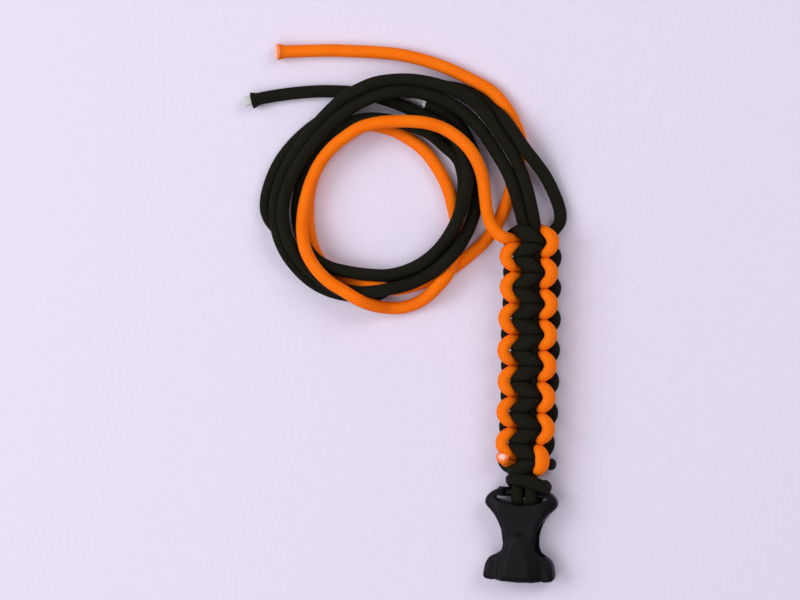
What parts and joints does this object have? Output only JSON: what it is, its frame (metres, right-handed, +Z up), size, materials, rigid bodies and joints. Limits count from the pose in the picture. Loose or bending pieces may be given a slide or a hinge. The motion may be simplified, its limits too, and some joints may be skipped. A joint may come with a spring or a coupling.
{
  "type": "knotted cord strap on a buckle socket",
  "caption": "Flat cobra-knotted cord strap in black and orange, hitched to the socket half of a side-release buckle, its loose cord tails lying in a hand coil.",
  "frame": {"origin": "middle of the strap and buckle's bounding box, on the surface they lie on; the loose tails are left out of that box", "axes": "+X to the right across the strap, +Y along the strap away from the buckle, +Z up from the surface to the strap's front"},
  "size_m": [0.1084, 0.179, 0.0121],
  "materials": {
    "black_acetal": "satin moulded acetal",
    "black_nylon": "braided nylon",
    "core_nylon": "braided nylon",
    "orange_nylon": "braided nylon",
    "white_yarn": "cut nylon yarn",
    "melted_nylon": "melted and set, slightly glossy"
  },
  "bodies": {
    "strap_top": {"black_knots_4": "black_nylon", "orange_knots_4": "orange_nylon", "core_strand_left_4": "core_nylon", "core_strand_right_4": "core_nylon", "orange_tail": "orange_nylon", "core_tail_left": "core_nylon", "core_tail_right": "core_nylon", "black_tail": "black_nylon", "orange_tail_melted_end": "melted_nylon", "core_tail_left_yarns": "white_yarn", "core_tail_right_yarns": "white_yarn", "black_tail_yarns": "white_yarn"},
    "strap_upper_middle": {"black_knots_3": "black_nylon", "orange_knots_3": "orange_nylon", "core_strand_left_3": "core_nylon", "core_strand_right_3": "core_nylon"},
    "strap_lower_middle": {"black_knots_2": "black_nylon", "orange_knots_2": "orange_nylon", "core_strand_left_2": "core_nylon", "core_strand_right_2": "core_nylon"},
    "strap_bottom": {"black_knots_1": "black_nylon", "orange_knots_1": "orange_nylon", "cow_hitch": "core_nylon", "orange_start_melted_end": "melted_nylon", "black_start_melted_end": "black_nylon"},
    "buckle": {"buckle_socket": "black_acetal"}
  },
  "joints": [
    {"name": "strap_bend_3", "type": "hinge", "parent": "strap_top", "child": "strap_upper_middle", "pos_m": [0.00292, 0.03846, 0.0104], "axis": [-0.9997, 0.0225, 0], "range_deg": [0, 35]},
    {"name": "strap_bend_2", "type": "hinge", "parent": "strap_upper_middle", "child": "strap_lower_middle", "pos_m": [0.00245, 0.0177, 0.0104], "axis": [-0.9997, 0.0225, 0], "range_deg": [0, 35]},
    {"name": "strap_bend_1", "type": "hinge", "parent": "strap_lower_middle", "child": "strap_bottom", "pos_m": [0.00198, -0.00305, 0.0104], "axis": [-0.9997, 0.0225, 0], "range_deg": [0, 35]},
    {"name": "buckle_swing", "type": "hinge", "parent": "strap_bottom", "child": "buckle", "pos_m": [0, -0.0289, 0.005], "axis": [-1, 0, 0], "range_deg": [0, 60]}
  ]
}
